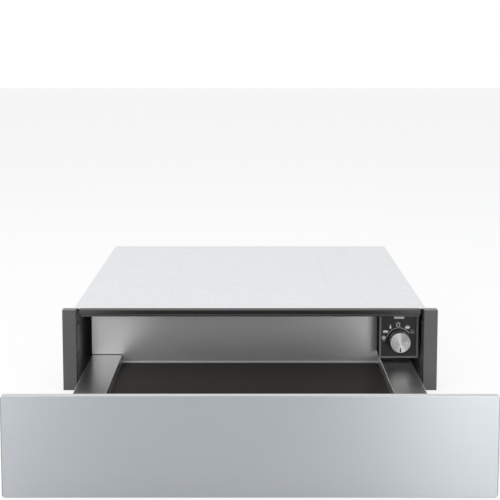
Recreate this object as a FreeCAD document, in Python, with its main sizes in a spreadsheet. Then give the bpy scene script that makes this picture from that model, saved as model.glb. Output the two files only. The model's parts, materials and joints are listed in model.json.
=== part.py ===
import FreeCAD, Part
import Sketcher
import os
import re

# Built-in warming drawer with its drawer pulled out to the stop.
# X runs to the right, Y into the cabinet and Z up. The origin lies in the plane of the carcass's
# underside and of the cabinet's front face, midway across. Lengths are in millimetres.

SIZES = {
    # Drawer front
    "front_overhang": 3.5,
    "front_top_gap": 2.1,
    "front_base": 0.4,
    "front_fold": 7.2,
    "front_corner": 4,
    "front_edge": 0.9,
    "front_sheet": 1,
    "front_inset": 7,
    "inner_front_inset": 33,
    "inner_front_base": 8,
    "inner_front_drop": 16.8,
    "inner_front_depth": 7.3,
    "inner_front_corner": 6,
    "bumper_radius": 5,
    "bumper_thickness": 1,
    "bumper_low": 16,
    "bumper_drop": 16.8,
    "closing_gap": 1.3,
    # Front frame
    "frame_width": 590,
    "frame_depth": 14,
    "upright_width": 21.5,
    "upright_edge": 0.8,
    "rail_height": 10,
    "rail_end_gap": 5.5,
    "rail_bar": 6,
    "rail_tongue": 15,
    "rail_groove_drop": 5,
    "rail_groove_width": 1.7,
    "rail_groove_depth": 2.5,
    "rail_slope_rise": 1.4,
    "rail_slope_run": 0.8,
    "rail_lip_setback": 0.4,
    "rail_bevel": 2.4,
    # Carcass
    "frame_return": 17,
    "rear_space": 72.6,
    "carcass_height": 128.8,
    "carcass_sheet": 1.2,
    "side_flange": 12,
    "fixing_depth": 26,
    "fixing_low": 48,
    "fixing_spacing": 50,
    "fixing_radius": 2.25,
    "vent_length": 34,
    "vent_width": 3.2,
    "vent_pitch": 9,
    "vent_count": 14,
    "vent_base": 60,
    "bead_width": 16,
    "bead_depth": 0.5,
    "bead_pitch": 250,
    "bead_count": 2,
    "bead_setback": 70,
    # Tray
    "tray_length": 448.7,
    "tray_stay": 58.7,
    "tray_side_room": 36.5,
    "ledge_width": 49,
    "ledge_top": 38.6,
    "ledge_sheet": 0.8,
    "ledge_outer_lip": 7.6,
    "ledge_overrun": 11.3,
    "ledge_bend": 1.2,
    "pan_base": 5,
    "pan_sheet": 1.2,
    "rear_wall_drop": 18.8,
    "rear_wall_lift": 0.8,
    "rear_wall_sheet": 1,
    "rear_wall_lip": 11.3,
    "rear_wall_foot": 3.5,
    "rear_wall_side_gap": 0.2,
    "glass_top": 25.2,
    "glass_thickness": 4,
    "seal_width": 1.5,
    "seal_drop": 0.2,
    "spreader_thickness": 2,
    "heater_width": 12,
    "heater_thickness": 1.5,
    "heater_end_room": 108.7,
    "heater_side_room": 59.5,
    "heater_lead": 64,
    "heater_legs": 6,
    "cutout_radius": 8,
    "cutout_height": 6,
    "cutout_clearance": 1,
    "bracket_sheet": 1.2,
    "bracket_depth": 62,
    "bracket_inset": 8.5,
    "bracket_width": 22,
    "bracket_base": 10,
    # Telescopic runners
    "runner_shortfall": 13.7,
    "runner_setback": 5,
    "runner_base": 6,
    "runner_height": 30,
    "runner_depth": 12.7,
    "runner_sheet": 1.2,
    "runner_clearance": 0.4,
    "runner_lip_gap": 2,
    "support_foot": 20,
    "support_top_gap": 1,
    # Control unit
    "control_side_gap": 8.6,
    "control_width": 62.1,
    "control_lift": 5,
    "control_drop": 11.8,
    "control_setback": 15.4,
    "control_depth": 32,
    "housing_sheet": 1.5,
    "bezel_border": 2.7,
    "bezel_depth": 4,
    "bezel_corner": 1.2,
    "faceplate_recess": 0.4,
    "faceplate_thickness": 2,
    "lamp_width": 16,
    "lamp_height": 3.5,
    "lamp_drop": 7.8,
    "lamp_proud": 0.3,
    "lamp_clearance": 0.1,
    "switch_size": 28,
    "switch_depth": 22,
    # Knob
    "knob_inset": 30.9,
    "knob_rise": 29.9,
    "knob_radius": 17,
    "knob_taper": 0.7,
    "knob_rim": 0.7,
    "knob_dish": 0.5,
    "knob_proud": 20,
    "knob_cap_depth": 14.5,
    "skirt_overhang": 0.6,
    "skirt_gap": 0.6,
    "spindle_radius": 3,
    "spindle_clearance": 0.05,
    "spindle_front": 6,
    "spindle_grip": 12,
    "pointer_width": 2.4,
    "pointer_length": 6.3,
    "pointer_depth": 0.8,
    "pointer_edge_gap": 1.2,
    # Latch, door switch and mains entry
    "latch_gap": 0.3,
    "latch_width": 40,
    "latch_height": 28,
    "latch_length": 44,
    "latch_setback": 12,
    "latch_level": 16,
    "latch_corner": 5,
    "plunger_radius": 4,
    "plunger_tail": 24,
    "plunger_stroke": 10,
    "blind_end_gap": 1,
    "button_across": 74,
    "button_width": 18,
    "button_body_height": 24,
    "button_body_length": 22,
    "button_radius": 2,
    "button_setback": 6,
    "button_stroke": 3,
    "terminal_inset": 110,
    "terminal_width": 52,
    "terminal_height": 34,
    "terminal_length": 46,
    "gland_inset": 56,
    "gland_level": 30,
    "gland_bore": 3.6,
    "gland_body": 6,
    "gland_clearance": 0.2,
    "gland_chamfer": 1,
    "gland_flange": 9,
    "gland_flange_depth": 2.5,
    "gland_length": 14,
}

# Widths, heights and depths that several pieces share. The front frame's width sets the widths,
# and the tray's length sets the depths. Drawer pieces are drawn with the drawer closed and then
# carried out by the travel.
FRONT_WIDTH = "(frame_width + 2 * front_overhang)"
FRONT_TOP = "(carcass_height - front_top_gap)"
UPRIGHT_INNER = "(frame_width / 2 - upright_width)"
CARCASS_HALF = "(frame_width / 2 - frame_return)"
COVER_UNDER = "(carcass_height - carcass_sheet)"
FLANGE_UNDER = "(carcass_height - 2 * carcass_sheet)"
FRONT_BACK = "(-frame_depth - closing_gap)"
FRONT_FACE = "(-frame_depth - closing_gap - front_fold)"
INNER_FRONT_WIDTH = "(frame_width - 2 * inner_front_inset)"
INNER_BACK = "(-frame_depth - closing_gap + inner_front_depth)"
TRAY_HALF = "(frame_width / 2 - tray_side_room)"
WELL_HALF = "(frame_width / 2 - tray_side_room - ledge_width)"
WALL_FACE = "(-frame_depth - closing_gap + inner_front_depth + tray_length)"
WALL_TOP = "(carcass_height - rear_wall_drop)"
PAN_REAR = f"({WALL_FACE} + rear_wall_sheet)"
PAN_BACK = f"({WALL_FACE} + rear_wall_sheet + pan_sheet)"
PAN_INNER = f"({WELL_HALF} + ledge_sheet)"
PAN_SIDE = f"({WELL_HALF} + ledge_sheet + pan_sheet)"
PAN_FLOOR = "(pan_base + pan_sheet)"
LEDGE_UNDER = "(ledge_top - ledge_sheet)"
GLASS_UNDER = "(glass_top - glass_thickness)"
SPREADER_UNDER = "(glass_top - glass_thickness - spreader_thickness)"
HEATER_UNDER = "(glass_top - glass_thickness - spreader_thickness - heater_thickness)"
HEATER_FIRST = f"({INNER_BACK} + heater_lead)"
HEATER_SPAN = "(tray_length - heater_end_room)"
CUTOUT_DEPTH = f"({HEATER_FIRST} + {HEATER_SPAN} / 2)"
CARCASS_BACK = f"({PAN_BACK} + rear_space)"
REAR_INNER = f"({PAN_BACK} + rear_space - carcass_sheet)"
CONTROL_RIGHT = f"({CARCASS_HALF} - control_side_gap)"
CONTROL_LEFT = f"({CARCASS_HALF} - control_side_gap - control_width)"
CONTROL_BASE = "(ledge_top + control_lift)"
CONTROL_TOP = "(carcass_height - control_drop)"
FACEPLATE_FRONT = "(control_setback + faceplate_recess)"
FACEPLATE_BACK = "(control_setback + faceplate_recess + faceplate_thickness)"
LAMP_LEVEL = f"({CONTROL_TOP} - lamp_drop)"
KNOB_ACROSS = f"({CONTROL_RIGHT} - knob_inset)"
KNOB_LEVEL = f"({CONTROL_BASE} + knob_rise)"
KNOB_BORE = "(spindle_radius + spindle_clearance)"
TERMINAL_ACROSS = f"(terminal_inset - {CARCASS_HALF})"
GLAND_ACROSS = f"(gland_inset - {CARCASS_HALF})"
OUT = "(tray_stay - tray_length)"
HALF_OUT = f"({OUT} / 2)"

PLANES = {"X": "YZ_Plane", "Y": "XZ_Plane", "Z": "XY_Plane"}

doc = FreeCAD.newDocument("warming_drawer")
sheet = doc.addObject("Spreadsheet::Sheet", "sizes")
for row, (alias, number) in enumerate(SIZES.items(), 1):
    sheet.set(f"A{row}", alias)
    sheet.set(f"B{row}", str(number))
    sheet.setAlias(f"B{row}", alias)
doc.recompute()
nodes = []


def bound(text):
    """An expression in which every word is a cell of the sheet."""
    return re.sub(r"[a-z][a-z_]+", lambda word: "sizes." + word.group(0), text)


def piece(label, along="0"):
    """A body that becomes one node, carried along Y from its closed place."""
    body = doc.addObject("PartDesign::Body", label)
    body.Label = label
    body.setExpression("Placement.Base.y", bound(along))
    nodes.append(body)
    return body


def sketch(body, axis, level):
    """An empty sketch square to an axis, at a level along it."""
    drawing = body.newObject("Sketcher::SketchObject", body.Label + "_sketch")
    plane = next(part for part in body.Origin.OriginFeatures if part.Role == PLANES[axis])
    drawing.AttachmentSupport = [(plane, "")]
    drawing.MapMode = "FlatFace"
    # The XZ plane faces -Y, so levels along Y count backwards from it.
    sign = "-1" if axis == "Y" else "1"
    drawing.setExpression("AttachmentOffset.Base.z", bound(f"{sign} * ({level})"))
    return drawing


def place(drawing, geometry, point, across, up):
    """Ties one point of a sketch to its distances from the origin."""
    for kind, distance in (("DistanceX", across), ("DistanceY", up)):
        index = drawing.addConstraint(Sketcher.Constraint(kind, -1, 1, geometry, point, 1))
        drawing.setExpression(f"Constraints[{index}]", bound(distance))


def draw_outline(drawing, corners):
    """A closed outline of straight lines through corners given as pairs of expressions."""
    count = len(corners)
    first = drawing.GeometryCount
    for index in range(count):
        start = FreeCAD.Vector(index, index * index, 0)
        following = (index + 1) % count
        end = FreeCAD.Vector(following, following * following, 0)
        drawing.addGeometry(Part.LineSegment(start, end))
    for index in range(count):
        following = first + (index + 1) % count
        drawing.addConstraint(Sketcher.Constraint("Coincident", first + index, 2, following, 1))
    for index, (across, up) in enumerate(corners):
        place(drawing, first + index, 1, across, up)


def draw_circle(drawing, across, up, radius):
    """A circle tied to its centre and radius."""
    ring = Part.Circle(FreeCAD.Vector(0, 0, 0), FreeCAD.Vector(0, 0, 1), 1)
    index = drawing.addGeometry(ring)
    place(drawing, index, 3, across, up)
    limit = drawing.addConstraint(Sketcher.Constraint("Radius", index, 1))
    drawing.setExpression(f"Constraints[{limit}]", bound(radius))


def rectangle(left, right, low, high):
    """The four corners of a rectangle."""
    return [(left, low), (right, low), (right, high), (left, high)]


def centred(half, low, high):
    """A rectangle centred across, given half its width."""
    return rectangle(f"-({half})", f"{half}", low, high)


def extrude(body, axis, shapes, low, high):
    """Pads outlines, or circles given as triples, from low to high along an axis."""
    drawing = sketch(body, axis, high if axis == "Y" else low)
    fill(drawing, shapes)
    pad = body.newObject("PartDesign::Pad", body.Label + "_pad")
    pad.Profile = drawing
    pad.setExpression("Length", bound(f"({high}) - ({low})"))
    return pad


def carve(body, axis, shapes, low, high):
    """Pockets outlines or circles from low to high along an axis."""
    drawing = sketch(body, axis, low if axis == "Y" else high)
    fill(drawing, shapes)
    pocket = body.newObject("PartDesign::Pocket", body.Label + "_pocket")
    pocket.Profile = drawing
    pocket.setExpression("Length", bound(f"({high}) - ({low})"))
    return pocket


def fill(drawing, shapes):
    """Draws each shape of a list: a triple is a circle and a list is an outline."""
    for shape in shapes:
        if isinstance(shape, tuple):
            draw_circle(drawing, *shape)
        else:
            draw_outline(drawing, shape)


def revolve(body, corners):
    """Turns an outline of (along Y, radius) pairs about the Y axis."""
    drawing = sketch(body, "X", "0")
    draw_outline(drawing, corners)
    turn = body.newObject("PartDesign::Revolution", body.Label + "_turn")
    turn.Profile = drawing
    turn.ReferenceAxis = (drawing, ["H_Axis"])
    turn.Angle = 360


def runs_along(edge, axis):
    """Whether an edge is straight and parallel to an axis."""
    if not isinstance(edge.Curve, Part.Line):
        return False
    return abs(abs(getattr(edge.Curve.Direction, axis.lower())) - 1) < 1e-6


def lies_at(edge, axis, level):
    """Whether the whole edge lies at one level along an axis."""
    ends = [getattr(vertex.Point, axis.lower()) for vertex in edge.Vertexes]
    return all(abs(end - level) < 1e-4 for end in ends)


def round_edges(body, feature, radius, picked):
    """Rounds the edges of a feature that the test picks."""
    doc.recompute()
    names = [f"Edge{i}" for i, edge in enumerate(feature.Shape.Edges, 1) if picked(edge)]
    rounding = body.newObject("PartDesign::Fillet", body.Label + "_fillet")
    rounding.Base = (feature, names)
    rounding.setExpression("Radius", bound(radius))
    return rounding


def press_panel(body, outline, inner, corner, span, open_end):
    """A pressed sheet panel: a block along Y, emptied from one end, with rounded corners.

    The span is its near and far level, and the open end is the index of the end without a face.
    """
    near, far = span
    block = extrude(body, "Y", [outline], near, far)
    low, high = (near, f"{far} - front_sheet") if open_end == 0 else (f"{near} + front_sheet", far)
    pocket = carve(body, "Y", [inner], low, high)
    doc.recompute()
    outer_corner = block.Shape.BoundBox.XMax
    inner_corner = max(vertex.Point.x for vertex in pocket.Profile[0].Shape.Vertexes)

    def inside(edge):
        return runs_along(edge, "Y") and abs(abs(edge.Vertexes[0].Point.x) - inner_corner) < 1e-4

    def outside(edge):
        return runs_along(edge, "Y") and abs(abs(edge.Vertexes[0].Point.x) - outer_corner) < 1e-4

    hollowed = round_edges(body, pocket, f"{corner} - front_sheet", inside)
    cornered = round_edges(body, hollowed, corner, outside)
    doc.recompute()
    box = cornered.Shape.BoundBox
    face = box.YMax if open_end == 0 else box.YMin

    def rim(edge):
        return lies_at(edge, "Y", face)

    round_edges(body, cornered, "front_edge", rim)


def mirrored(side, corners):
    """An outline drawn for the right-hand side, on the side that the sign gives."""
    return [(f"{side} * ({across})", up) for across, up in corners]


# --- carcass ---------------------------------------------------------------------------------

def repeat_across(body, feature, pitch, count):
    """Repeats a feature across the body from its first, leftmost place."""
    doc.recompute()
    row = body.newObject("PartDesign::LinearPattern", body.Label + "_row")
    row.Originals = [feature]
    row.Direction = (feature.Profile[0], ["H_Axis"])
    row.setExpression("Length", bound(f"({count} - 1) * {pitch}"))
    row.setExpression("Occurrences", bound(count))
    body.Tip = row


def press_beads(body, low, high):
    """Shallow stiffening beads along Y in a flat sheet, from low to high in it."""
    first = "-(bead_count - 1) / 2 * bead_pitch"
    bead = rectangle(
        f"{first} - bead_width / 2", f"{first} + bead_width / 2", "bead_setback",
        f"{CARCASS_BACK} - bead_setback",
    )
    repeat_across(body, carve(body, "Z", [bead], low, high), "bead_pitch", "bead_count")


def build_base_plate():
    body = piece("base_plate")
    inner = UPRIGHT_INNER
    half = CARCASS_HALF
    front = "-frame_depth + carcass_sheet"
    outline = [
        (f"-{inner}", front), (inner, front), (inner, "0"), (half, "0"), (half, CARCASS_BACK),
        (f"-{half}", CARCASS_BACK), (f"-{half}", "0"), (f"-{inner}", "0"),
    ]
    extrude(body, "Z", [outline], "0", "carcass_sheet")
    press_beads(body, "0", "bead_depth")


def build_top_cover():
    body = piece("top_cover")
    outline = centred(CARCASS_HALF, "0", CARCASS_BACK)
    extrude(body, "Z", [outline], COVER_UNDER, "carcass_height")
    press_beads(body, "carcass_height - bead_depth", "carcass_height")


def build_side_panel(label, side):
    body = piece(label)
    outer = CARCASS_HALF
    inner = f"{CARCASS_HALF} - carcass_sheet"
    flange = f"{CARCASS_HALF} - side_flange"
    section = [
        (outer, "carcass_sheet"), (outer, COVER_UNDER), (flange, COVER_UNDER), (flange, FLANGE_UNDER),
        (inner, FLANGE_UNDER), (inner, "2 * carcass_sheet"), (flange, "2 * carcass_sheet"),
        (flange, "carcass_sheet"),
    ]
    start = "rail_tongue + carcass_sheet"
    extrude(body, "Y", [mirrored(side, section)], start, REAR_INNER)
    web = rectangle(
        f"{side} * ({inner})", f"{side} * ({outer})", "carcass_sheet", COVER_UNDER,
    )
    extrude(body, "Y", [web], "-frame_depth + carcass_sheet", start)
    holes = []
    for level in ("fixing_low", "fixing_low + fixing_spacing"):
        holes.append(("fixing_depth", level, "fixing_radius"))
    low, high = (inner, outer) if side == "1" else (f"-({outer})", f"-({inner})")
    carve(body, "X", holes, low, high)


def build_rear_panel():
    body = piece("rear_panel")
    plate = centred(CARCASS_HALF, "carcass_sheet", COVER_UNDER)
    extrude(body, "Y", [plate], REAR_INNER, CARCASS_BACK)
    hole = (GLAND_ACROSS, "gland_level", "gland_body + gland_clearance")
    carve(body, "Y", [hole], REAR_INNER, CARCASS_BACK)
    first = "-(vent_count - 1) / 2 * vent_pitch"
    slot = rectangle(
        f"{first} - vent_width / 2", f"{first} + vent_width / 2", "vent_base",
        "vent_base + vent_length",
    )
    vent = carve(body, "Y", [slot], REAR_INNER, CARCASS_BACK)
    repeat_across(body, vent, "vent_pitch", "vent_count")


def build_upright(label, side):
    body = piece(label)
    outer = "frame_width / 2"
    inner = UPRIGHT_INNER
    web = "-frame_depth + carcass_sheet"
    channel = [
        (inner, "0"), (inner, "-frame_depth"), (outer, "-frame_depth"), (outer, "0"),
        (f"{outer} - carcass_sheet", "0"), (f"{outer} - carcass_sheet", web),
        (f"{inner} + carcass_sheet", web), (f"{inner} + carcass_sheet", "0"),
    ]
    cap = rectangle(inner, outer, "-frame_depth", "0")
    extrude(body, "Z", [mirrored(side, channel)], "0", "carcass_height")
    extrude(body, "Z", [mirrored(side, cap)], "0", "carcass_sheet")
    top = extrude(body, "Z", [mirrored(side, cap)], COVER_UNDER, "carcass_height")
    front = -SIZES["frame_depth"]
    round_edges(
        body, top, "upright_edge",
        lambda edge: runs_along(edge, "Z") and lies_at(edge, "Y", front),
    )


def build_top_rail():
    body = piece("front_top_rail")
    half = f"({UPRIGHT_INNER} - rail_end_gap)"
    lip = "-frame_depth + rail_lip_setback"
    groove = "-frame_depth + rail_groove_depth"
    groove_top = "carcass_height - rail_groove_drop"
    groove_low = "carcass_height - rail_groove_drop - rail_groove_width"
    bottom = "carcass_height - rail_height"
    section = [
        ("-frame_depth", "carcass_height"), ("0", "carcass_height"), ("0", COVER_UNDER),
        ("rail_tongue", COVER_UNDER), ("rail_tongue", FLANGE_UNDER),
        ("-frame_depth + rail_bar", FLANGE_UNDER), ("-frame_depth + rail_bar", bottom),
        (lip, bottom), (lip, f"{groove_low} - rail_slope_rise"),
        (f"{lip} + rail_slope_run", groove_low), (groove, groove_low), (groove, groove_top),
        ("-frame_depth", groove_top),
    ]
    extrude(body, "X", [section], f"-{half}", half)
    for side in ("-1", "1"):
        corner = [(half, lip), (f"{half} - rail_bevel", lip), (half, f"{lip} + rail_bevel")]
        carve(body, "Z", [mirrored(side, corner)], bottom, groove_low)


# --- control unit ----------------------------------------------------------------------------

def build_control_housing():
    body = piece("control_box_housing")
    front = "(control_setback + bezel_depth)"
    back = "(control_setback + control_depth)"
    outer = rectangle(CONTROL_LEFT, CONTROL_RIGHT, CONTROL_BASE, FLANGE_UNDER)
    extrude(body, "Y", [outer], front, back)
    inner = rectangle(
        f"{CONTROL_LEFT} + housing_sheet", f"{CONTROL_RIGHT} - housing_sheet",
        f"{CONTROL_BASE} + housing_sheet", f"{FLANGE_UNDER} - housing_sheet",
    )
    carve(body, "Y", [inner], front, f"{back} - housing_sheet")


def face_outline():
    """The outline of the faceplate, inside the bezel's border."""
    return rectangle(
        f"{CONTROL_LEFT} + bezel_border", f"{CONTROL_RIGHT} - bezel_border",
        f"{CONTROL_BASE} + bezel_border", f"{CONTROL_TOP} - bezel_border",
    )


def build_bezel():
    body = piece("control_bezel")
    outer = rectangle(CONTROL_LEFT, CONTROL_RIGHT, CONTROL_BASE, CONTROL_TOP)
    back = "control_setback + bezel_depth"
    frame = extrude(body, "Y", [outer], "control_setback", back)
    round_edges(body, frame, "bezel_corner", lambda edge: runs_along(edge, "Y"))
    carve(body, "Y", [face_outline()], "control_setback", back)


def lamp_outline(clearance):
    """The outline of the lamp lens, or of its window, with a clearance round it."""
    half_width = f"(lamp_width / 2 + {clearance})"
    half_height = f"(lamp_height / 2 + {clearance})"
    return rectangle(
        f"{KNOB_ACROSS} - {half_width}", f"{KNOB_ACROSS} + {half_width}",
        f"{LAMP_LEVEL} - {half_height}", f"{LAMP_LEVEL} + {half_height}",
    )


def build_faceplate():
    body = piece("control_faceplate")
    extrude(body, "Y", [face_outline()], FACEPLATE_FRONT, FACEPLATE_BACK)
    window = lamp_outline("lamp_clearance")
    hole = (KNOB_ACROSS, KNOB_LEVEL, KNOB_BORE)
    carve(body, "Y", [window, hole], FACEPLATE_FRONT, FACEPLATE_BACK)


def build_lamp_lens():
    body = piece("pilot_lamp_lens")
    front = f"{FACEPLATE_FRONT} - lamp_proud"
    extrude(body, "Y", [lamp_outline("0")], front, FACEPLATE_BACK)


def build_rotary_switch():
    body = piece("rotary_switch")
    block = rectangle(
        f"{KNOB_ACROSS} - switch_size / 2", f"{KNOB_ACROSS} + switch_size / 2",
        f"{KNOB_LEVEL} - switch_size / 2", f"{KNOB_LEVEL} + switch_size / 2",
    )
    extrude(body, "Y", [block], FACEPLATE_BACK, f"{FACEPLATE_BACK} + switch_depth")
    bore = (KNOB_ACROSS, KNOB_LEVEL, KNOB_BORE)
    end = f"{FACEPLATE_BACK} + spindle_grip + blind_end_gap"
    carve(body, "Y", [bore], FACEPLATE_BACK, end)


def knob_piece(label):
    """A knob piece, drawn about its own axis and placed on the control face."""
    body = piece(label, FACEPLATE_FRONT)
    body.setExpression("Placement.Base.x", bound(KNOB_ACROSS))
    body.setExpression("Placement.Base.z", bound(KNOB_LEVEL))
    return body


def build_knob():
    front = "-knob_proud"
    seat = "-knob_proud + knob_cap_depth"
    cap = knob_piece("knob_cap")
    profile = [
        (f"{front} + knob_dish", "0"), (front, "knob_radius - knob_taper - knob_rim"),
        (f"{front} + knob_rim", "knob_radius - knob_taper"), (seat, "knob_radius"),
        (seat, KNOB_BORE), (f"{front} + spindle_front", KNOB_BORE),
        (f"{front} + spindle_front", "0"),
    ]
    revolve(cap, profile)
    pointer_top = "-knob_radius + knob_taper + pointer_edge_gap + pointer_length"
    pointer_low = "-knob_radius + knob_taper + pointer_edge_gap"
    mark = centred("pointer_width / 2", pointer_low, pointer_top)
    carve(cap, "Y", [mark], front, f"{front} + knob_dish + pointer_depth")
    pointer = knob_piece("knob_pointer")
    extrude(pointer, "Y", [mark], f"{front} + knob_dish", f"{front} + knob_dish + pointer_depth")
    skirt = knob_piece("knob_skirt")
    extrude(skirt, "Y", [("0", "0", "knob_radius + skirt_overhang")], seat, "-skirt_gap")
    carve(skirt, "Y", [("0", "0", KNOB_BORE)], seat, "-skirt_gap")
    spindle = knob_piece("knob_spindle")
    back = "faceplate_thickness + spindle_grip"
    extrude(spindle, "Y", [("0", "0", "spindle_radius")], f"{front} + spindle_front", back)


# --- rear fittings ---------------------------------------------------------------------------

def build_latch():
    contact = f"({PAN_BACK} + latch_gap)"
    front = f"({contact} + latch_setback)"
    body = piece("push_latch_housing")
    block = centred("latch_width / 2", "carcass_sheet", "carcass_sheet + latch_height")
    shell = extrude(body, "Y", [block], front, f"{front} + latch_length")
    top = SIZES["carcass_sheet"] + SIZES["latch_height"]
    round_edges(
        body, shell, "latch_corner",
        lambda edge: runs_along(edge, "Y") and lies_at(edge, "Z", top),
    )
    bore = ("0", "latch_level", "plunger_radius + spindle_clearance")
    carve(body, "Y", [bore], front, f"{front} + plunger_tail + plunger_stroke + blind_end_gap")
    plunger = piece("latch_plunger")
    rod = ("0", "latch_level", "plunger_radius")
    extrude(plunger, "Y", [rod], contact, f"{front} + plunger_tail")


def build_door_switch():
    contact = f"({PAN_BACK} + latch_gap)"
    front = f"({contact} + button_setback)"
    body = piece("door_switch_body")
    block = rectangle(
        "button_across - button_width / 2", "button_across + button_width / 2",
        "carcass_sheet", "carcass_sheet + button_body_height",
    )
    extrude(body, "Y", [block], front, f"{front} + button_body_length")
    bore = ("button_across", "latch_level", "button_radius + spindle_clearance")
    carve(body, "Y", [bore], front, f"{front} + button_setback + button_stroke + blind_end_gap")
    button = piece("door_switch_button")
    rod = ("button_across", "latch_level", "button_radius")
    extrude(button, "Y", [rod], contact, f"{front} + button_setback")


def build_terminal_box():
    body = piece("terminal_box")
    block = rectangle(
        f"{TERMINAL_ACROSS} - terminal_width / 2", f"{TERMINAL_ACROSS} + terminal_width / 2",
        "carcass_sheet", "carcass_sheet + terminal_height",
    )
    extrude(body, "Y", [block], f"{REAR_INNER} - terminal_length", REAR_INNER)


def build_gland():
    body = piece("cable_gland", CARCASS_BACK)
    body.setExpression("Placement.Base.x", bound(GLAND_ACROSS))
    body.setExpression("Placement.Base.z", bound("gland_level"))
    profile = [
        ("gland_flange_depth - gland_length", "gland_bore"),
        ("gland_flange_depth", "gland_bore"),
        ("gland_flange_depth", "gland_flange - gland_chamfer"),
        ("gland_flange_depth - gland_chamfer", "gland_flange"), ("0", "gland_flange"),
        ("0", "gland_body"),
        ("gland_flange_depth - gland_length", "gland_body"),
    ]
    revolve(body, profile)


# --- runners ---------------------------------------------------------------------------------

def runner_section(web, outward, half):
    """A C-section: web pair across, far ends of its lips and half its height."""
    centre = "runner_base + runner_height / 2"
    back, face = web
    return [
        (back, f"{centre} - {half}"), (outward, f"{centre} - {half}"),
        (outward, f"{centre} - {half} + runner_sheet"),
        (face, f"{centre} - {half} + runner_sheet"),
        (face, f"{centre} + {half} - runner_sheet"),
        (outward, f"{centre} + {half} - runner_sheet"), (outward, f"{centre} + {half}"),
        (back, f"{centre} + {half}"),
    ]


def build_runners(hand, side):
    start = "runner_setback"
    end = "runner_setback + tray_length - runner_shortfall"
    root = PAN_SIDE
    step = "(runner_sheet + runner_clearance)"
    outer_half = "runner_height / 2"
    middle_half = f"({outer_half} - {step})"
    inner_half = f"({outer_half} - 2 * {step})"
    outer_web = (f"{root} + runner_depth", f"{root} + runner_depth - runner_sheet")
    middle_back = f"{root} + runner_depth - {step}"
    middle_web = (middle_back, f"{middle_back} - runner_sheet")
    inner_web = (root, f"{root} + runner_sheet")
    lip = f"{root} + runner_lip_gap"
    inner_lip = f"{middle_back} - runner_sheet - runner_clearance"
    fixed = piece(f"{hand}_outer_runner")
    section = runner_section(outer_web, lip, outer_half)
    extrude(fixed, "Y", [mirrored(side, section)], start, end)
    middle = piece(f"{hand}_middle_runner", HALF_OUT)
    section = runner_section(middle_web, lip, middle_half)
    extrude(middle, "Y", [mirrored(side, section)], start, end)
    inner = piece(f"{hand}_inner_runner", OUT)
    section = runner_section(inner_web, inner_lip, inner_half)
    extrude(inner, "Y", [mirrored(side, section)], start, end)
    support = piece(f"{hand}_runner_support")
    web = f"{root} + runner_depth"
    top = "runner_base + runner_height - support_top_gap"
    angle = [
        (web, "carcass_sheet"), (f"{web} + support_foot", "carcass_sheet"),
        (f"{web} + support_foot", "2 * carcass_sheet"),
        (f"{web} + carcass_sheet", "2 * carcass_sheet"), (f"{web} + carcass_sheet", top),
        (web, top),
    ]
    extrude(support, "Y", [mirrored(side, angle)], start, end)


# --- drawer ----------------------------------------------------------------------------------

def build_pan():
    body = piece("drawer_pan", OUT)
    outline = centred(PAN_SIDE, INNER_BACK, PAN_BACK)
    extrude(body, "Z", [outline], "pan_base", LEDGE_UNDER)
    inner = centred(PAN_INNER, f"{INNER_BACK} + pan_sheet", PAN_REAR)
    carve(body, "Z", [inner], PAN_FLOOR, LEDGE_UNDER)


def build_ledge(label, side):
    body = piece(label, OUT)
    inner = WELL_HALF
    outer = TRAY_HALF
    front = f"{INNER_BACK} + pan_sheet"
    end = f"{WALL_FACE} + ledge_overrun"
    section = [
        (inner, GLASS_UNDER), (PAN_INNER, GLASS_UNDER), (PAN_INNER, LEDGE_UNDER),
        (f"{outer} - ledge_sheet", LEDGE_UNDER),
        (f"{outer} - ledge_sheet", "ledge_top - ledge_outer_lip"),
        (outer, "ledge_top - ledge_outer_lip"), (outer, "ledge_top"), (inner, "ledge_top"),
    ]
    extrude(body, "Y", [mirrored(side, section)], front, WALL_FACE)
    strip = rectangle(PAN_INNER, outer, LEDGE_UNDER, "ledge_top")
    extrude(body, "Y", [mirrored(side, strip)], WALL_FACE, end)
    shelf = extrude(body, "Y", [mirrored(side, strip)], INNER_BACK, front)
    top = SIZES["ledge_top"]
    edges = (SIZES["frame_width"] / 2 - SIZES["tray_side_room"], SIZES["ledge_width"])

    def folded(edge):
        across = abs(edge.Vertexes[0].Point.x)
        bends = (edges[0], edges[0] - edges[1])
        at_bend = any(abs(across - bend) < 1e-4 for bend in bends)
        return runs_along(edge, "Y") and lies_at(edge, "Z", top) and at_bend

    round_edges(body, shelf, "ledge_bend", folded)


def build_rear_wall():
    body = piece("tray_rear_wall", OUT)
    back = f"{WALL_FACE} + rear_wall_sheet"
    low = "ledge_top + rear_wall_lift"
    section = [
        (WALL_FACE, low), (WALL_FACE, WALL_TOP), (f"{WALL_FACE} + rear_wall_lip", WALL_TOP),
        (f"{WALL_FACE} + rear_wall_lip", f"{WALL_TOP} - rear_wall_sheet"),
        (back, f"{WALL_TOP} - rear_wall_sheet"), (back, low),
    ]
    extrude(body, "X", [section], f"-{TRAY_HALF}", TRAY_HALF)
    foot = [
        (WALL_FACE, low), (back, low), (back, "glass_top"),
        (f"{WALL_FACE} - rear_wall_foot", "glass_top"),
        (f"{WALL_FACE} - rear_wall_foot", "glass_top + rear_wall_sheet"),
        (WALL_FACE, "glass_top + rear_wall_sheet"),
    ]
    half = f"({WELL_HALF} - rear_wall_side_gap)"
    extrude(body, "X", [foot], f"-{half}", half)


def build_glass():
    body = piece("glass_plate", OUT)
    front = f"{INNER_BACK} + pan_sheet + seal_width"
    back = f"{WALL_FACE} - seal_width"
    outline = centred(f"{WELL_HALF} - seal_width", front, back)
    extrude(body, "Z", [outline], GLASS_UNDER, "glass_top")
    seal = piece("glass_seal", OUT)
    top = "glass_top - seal_drop"
    outer = centred(WELL_HALF, f"{INNER_BACK} + pan_sheet", WALL_FACE)
    extrude(seal, "Z", [outer], GLASS_UNDER, top)
    carve(seal, "Z", [outline], GLASS_UNDER, top)


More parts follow.
